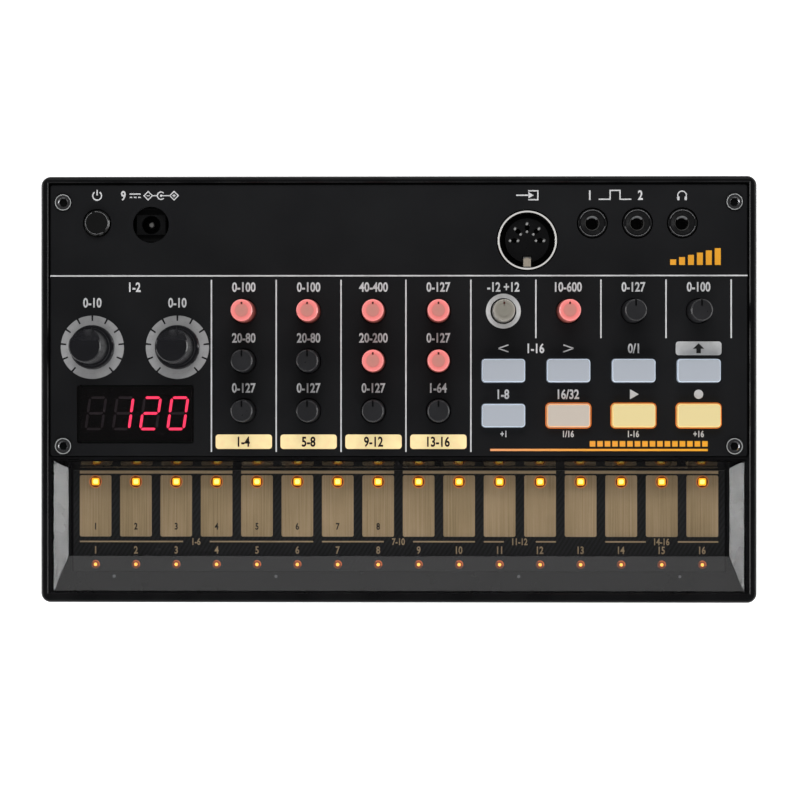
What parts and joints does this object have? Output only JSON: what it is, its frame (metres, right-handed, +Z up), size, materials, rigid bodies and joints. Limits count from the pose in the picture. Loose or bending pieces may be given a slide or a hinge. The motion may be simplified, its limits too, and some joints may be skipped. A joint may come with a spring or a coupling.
{
  "type": "drum machine",
  "caption": "Compact black desktop drum machine with turning knobs, rubber buttons, a numeric display, sockets along the back and a recessed smoked tray over lit touch pads.",
  "frame": {"origin": "middle of the footprint, on the surface the feet stand on", "axes": "+X along the width, +Y towards the back edge with the sockets, +Z up"},
  "size_m": [0.193, 0.115, 0.045],
  "materials": {
    "case_plastic": "fine moulded grain, black",
    "panel_plastic": "satin black, printed",
    "smoked_window": "smoked clear plastic",
    "black_board": "black solder mask with fine hatch",
    "pad_brass": "brown brass touch pads",
    "amber_light": "lit amber",
    "green_board": "green circuit board",
    "pot_plastic": "dark moulded parts",
    "black_part": "black moulded socket plastic",
    "display_window": "dark red-black lens",
    "bright_metal": "bright plated metal",
    "chip_light": "small light chips",
    "plain_steel": "plain steel",
    "speaker_paper": "black paper cone",
    "magnet_grey": "ferrite",
    "cell_wrap": "plain wrapped cells",
    "foot_rubber": "soft black rubber",
    "black_steel": "black plated steel",
    "power_plastic": "glossy black",
    "lit_knob": "translucent, lit pink",
    "black_knob": "black moulded",
    "clear_knob": "translucent, unlit",
    "large_knob": "black moulded, smooth",
    "button_grey": "translucent rubber, unlit",
    "button_beige": "translucent rubber, faintly lit",
    "button_lit": "translucent rubber, lit warm yellow"
  },
  "bodies": {
    "case": {"lower_case": "case_plastic", "top_frame": "case_plastic", "top_panel": "panel_plastic", "touch_window": "smoked_window", "touch_board": "black_board", "touch_pads": "pad_brass", "step_lights": "amber_light", "main_board": "green_board", "pot_bodies": "pot_plastic", "switches": "pot_plastic", "display_module": "black_part", "display_lens": "display_window", "dc_jack": "black_part", "dc_jack_pin": "bright_metal", "din_shell": "bright_metal", "din_insulator": "black_part", "din_contacts": "bright_metal", "jack_bodies": "black_part", "jack_sleeves": "bright_metal", "backlights": "chip_light", "speaker_frame": "plain_steel", "speaker_cone": "speaker_paper", "speaker_magnet": "magnet_grey", "battery_cells": "cell_wrap", "battery_contacts": "plain_steel", "rubber_feet": "foot_rubber", "panel_screws": "black_steel", "case_screws": "black_steel", "board_screws": "plain_steel"},
    "battery_door": {"battery_door": "case_plastic"},
    "power_button": {"power_button": "power_plastic"},
    "small_knob_1_1": {"small_knob_1_1": "lit_knob"},
    "small_knob_1_2": {"small_knob_1_2": "black_knob"},
    "small_knob_1_3": {"small_knob_1_3": "black_knob"},
    "small_knob_2_1": {"small_knob_2_1": "lit_knob"},
    "small_knob_2_2": {"small_knob_2_2": "black_knob"},
    "small_knob_2_3": {"small_knob_2_3": "black_knob"},
    "small_knob_3_1": {"small_knob_3_1": "lit_knob"},
    "small_knob_3_2": {"small_knob_3_2": "lit_knob"},
    "small_knob_3_3": {"small_knob_3_3": "black_knob"},
    "small_knob_4_1": {"small_knob_4_1": "lit_knob"},
    "small_knob_4_2": {"small_knob_4_2": "lit_knob"},
    "small_knob_4_3": {"small_knob_4_3": "black_knob"},
    "small_knob_5_1": {"small_knob_5_1": "clear_knob"},
    "small_knob_6_1": {"small_knob_6_1": "lit_knob"},
    "small_knob_7_1": {"small_knob_7_1": "black_knob"},
    "small_knob_8_1": {"small_knob_8_1": "black_knob"},
    "large_knob_left": {"large_knob_left": "large_knob", "large_shaft_left": "plain_steel"},
    "large_knob_right": {"large_knob_right": "large_knob", "large_shaft_right": "plain_steel"},
    "button_1_1": {"button_1_1": "button_grey"},
    "button_1_2": {"button_1_2": "button_grey"},
    "button_1_3": {"button_1_3": "button_grey"},
    "button_1_4": {"button_1_4": "button_grey"},
    "button_2_1": {"button_2_1": "button_grey"},
    "button_2_2": {"button_2_2": "button_beige"},
    "button_2_3": {"button_2_3": "button_lit"},
    "button_2_4": {"button_2_4": "button_lit"}
  },
  "joints": [
    {"name": "small_knob_1_1_turn", "type": "hinge", "parent": "case", "child": "small_knob_1_1", "pos_m": [-0.04165, 0.0211, 0.0313], "axis": [0, 0, 1], "range_deg": [-140, 140]},
    {"name": "small_knob_1_2_turn", "type": "hinge", "parent": "case", "child": "small_knob_1_2", "pos_m": [-0.04165, 0.00765, 0.0313], "axis": [0, 0, 1], "range_deg": [-140, 140]},
    {"name": "small_knob_1_3_turn", "type": "hinge", "parent": "case", "child": "small_knob_1_3", "pos_m": [-0.04165, -0.0058, 0.0313], "axis": [0, 0, 1], "range_deg": [-140, 140]},
    {"name": "small_knob_2_1_turn", "type": "hinge", "parent": "case", "child": "small_knob_2_1", "pos_m": [-0.02415, 0.0211, 0.0313], "axis": [0, 0, 1], "range_deg": [-140, 140]},
    {"name": "small_knob_2_2_turn", "type": "hinge", "parent": "case", "child": "small_knob_2_2", "pos_m": [-0.02415, 0.00765, 0.0313], "axis": [0, 0, 1], "range_deg": [-140, 140]},
    {"name": "small_knob_2_3_turn", "type": "hinge", "parent": "case", "child": "small_knob_2_3", "pos_m": [-0.02415, -0.0058, 0.0313], "axis": [0, 0, 1], "range_deg": [-140, 140]},
    {"name": "small_knob_3_1_turn", "type": "hinge", "parent": "case", "child": "small_knob_3_1", "pos_m": [-0.00665, 0.0211, 0.0313], "axis": [0, 0, 1], "range_deg": [-140, 140]},
    {"name": "small_knob_3_2_turn", "type": "hinge", "parent": "case", "child": "small_knob_3_2", "pos_m": [-0.00665, 0.00765, 0.0313], "axis": [0, 0, 1], "range_deg": [-140, 140]},
    {"name": "small_knob_3_3_turn", "type": "hinge", "parent": "case", "child": "small_knob_3_3", "pos_m": [-0.00665, -0.0058, 0.0313], "axis": [0, 0, 1], "range_deg": [-140, 140]},
    {"name": "small_knob_4_1_turn", "type": "hinge", "parent": "case", "child": "small_knob_4_1", "pos_m": [0.01085, 0.0211, 0.0313], "axis": [0, 0, 1], "range_deg": [-140, 140]},
    {"name": "small_knob_4_2_turn", "type": "hinge", "parent": "case", "child": "small_knob_4_2", "pos_m": [0.01085, 0.00765, 0.0313], "axis": [0, 0, 1], "range_deg": [-140, 140]},
    {"name": "small_knob_4_3_turn", "type": "hinge", "parent": "case", "child": "small_knob_4_3", "pos_m": [0.01085, -0.0058, 0.0313], "axis": [0, 0, 1], "range_deg": [-140, 140]},
    {"name": "small_knob_5_1_turn", "type": "hinge", "parent": "case", "child": "small_knob_5_1", "pos_m": [0.02835, 0.0211, 0.0313], "axis": [0, 0, 1], "range_deg": [-140, 140]},
    {"name": "small_knob_6_1_turn", "type": "hinge", "parent": "case", "child": "small_knob_6_1", "pos_m": [0.04585, 0.0211, 0.0313], "axis": [0, 0, 1], "range_deg": [-140, 140]},
    {"name": "small_knob_7_1_turn", "type": "hinge", "parent": "case", "child": "small_knob_7_1", "pos_m": [0.06335, 0.0211, 0.0313], "axis": [0, 0, 1], "range_deg": [-140, 140]},
    {"name": "small_knob_8_1_turn", "type": "hinge", "parent": "case", "child": "small_knob_8_1", "pos_m": [0.08085, 0.0211, 0.0313], "axis": [0, 0, 1], "range_deg": [-140, 140]},
    {"name": "large_knob_left_turn", "type": "hinge", "parent": "case", "child": "large_knob_left", "pos_m": [-0.0826, 0.0114, 0.0313], "axis": [0, 0, 1], "range_deg": [-140, 140]},
    {"name": "large_knob_right_turn", "type": "hinge", "parent": "case", "child": "large_knob_right", "pos_m": [-0.0596, 0.0114, 0.0313], "axis": [0, 0, 1], "range_deg": [-140, 140]},
    {"name": "button_1_1_press", "type": "slide", "parent": "case", "child": "button_1_1", "axis": [0, 0, -1], "range_m": [0, 0.0008], "stiffness_N_per_m": 1200},
    {"name": "button_1_2_press", "type": "slide", "parent": "case", "child": "button_1_2", "axis": [0, 0, -1], "range_m": [0, 0.0008], "stiffness_N_per_m": 1200},
    {"name": "button_1_3_press", "type": "slide", "parent": "case", "child": "button_1_3", "axis": [0, 0, -1], "range_m": [0, 0.0008], "stiffness_N_per_m": 1200},
    {"name": "button_1_4_press", "type": "slide", "parent": "case", "child": "button_1_4", "axis": [0, 0, -1], "range_m": [0, 0.0008], "stiffness_N_per_m": 1200},
    {"name": "button_2_1_press", "type": "slide", "parent": "case", "child": "button_2_1", "axis": [0, 0, -1], "range_m": [0, 0.0008], "stiffness_N_per_m": 1200},
    {"name": "button_2_2_press", "type": "slide", "parent": "case", "child": "button_2_2", "axis": [0, 0, -1], "range_m": [0, 0.0008], "stiffness_N_per_m": 1200},
    {"name": "button_2_3_press", "type": "slide", "parent": "case", "child": "button_2_3", "axis": [0, 0, -1], "range_m": [0, 0.0008], "stiffness_N_per_m": 1200},
    {"name": "button_2_4_press", "type": "slide", "parent": "case", "child": "button_2_4", "axis": [0, 0, -1], "range_m": [0, 0.0008], "stiffness_N_per_m": 1200},
    {"name": "power_button_press", "type": "slide", "parent": "case", "child": "power_button", "axis": [0, 0, -1], "range_m": [0, 0.0012], "stiffness_N_per_m": 1000},
    {"name": "battery_door_tilt", "type": "hinge", "parent": "case", "child": "battery_door", "pos_m": [0.016, -0.02505, 0.0015], "axis": [-1, 0, 0], "range_deg": [0, 50]}
  ]
}
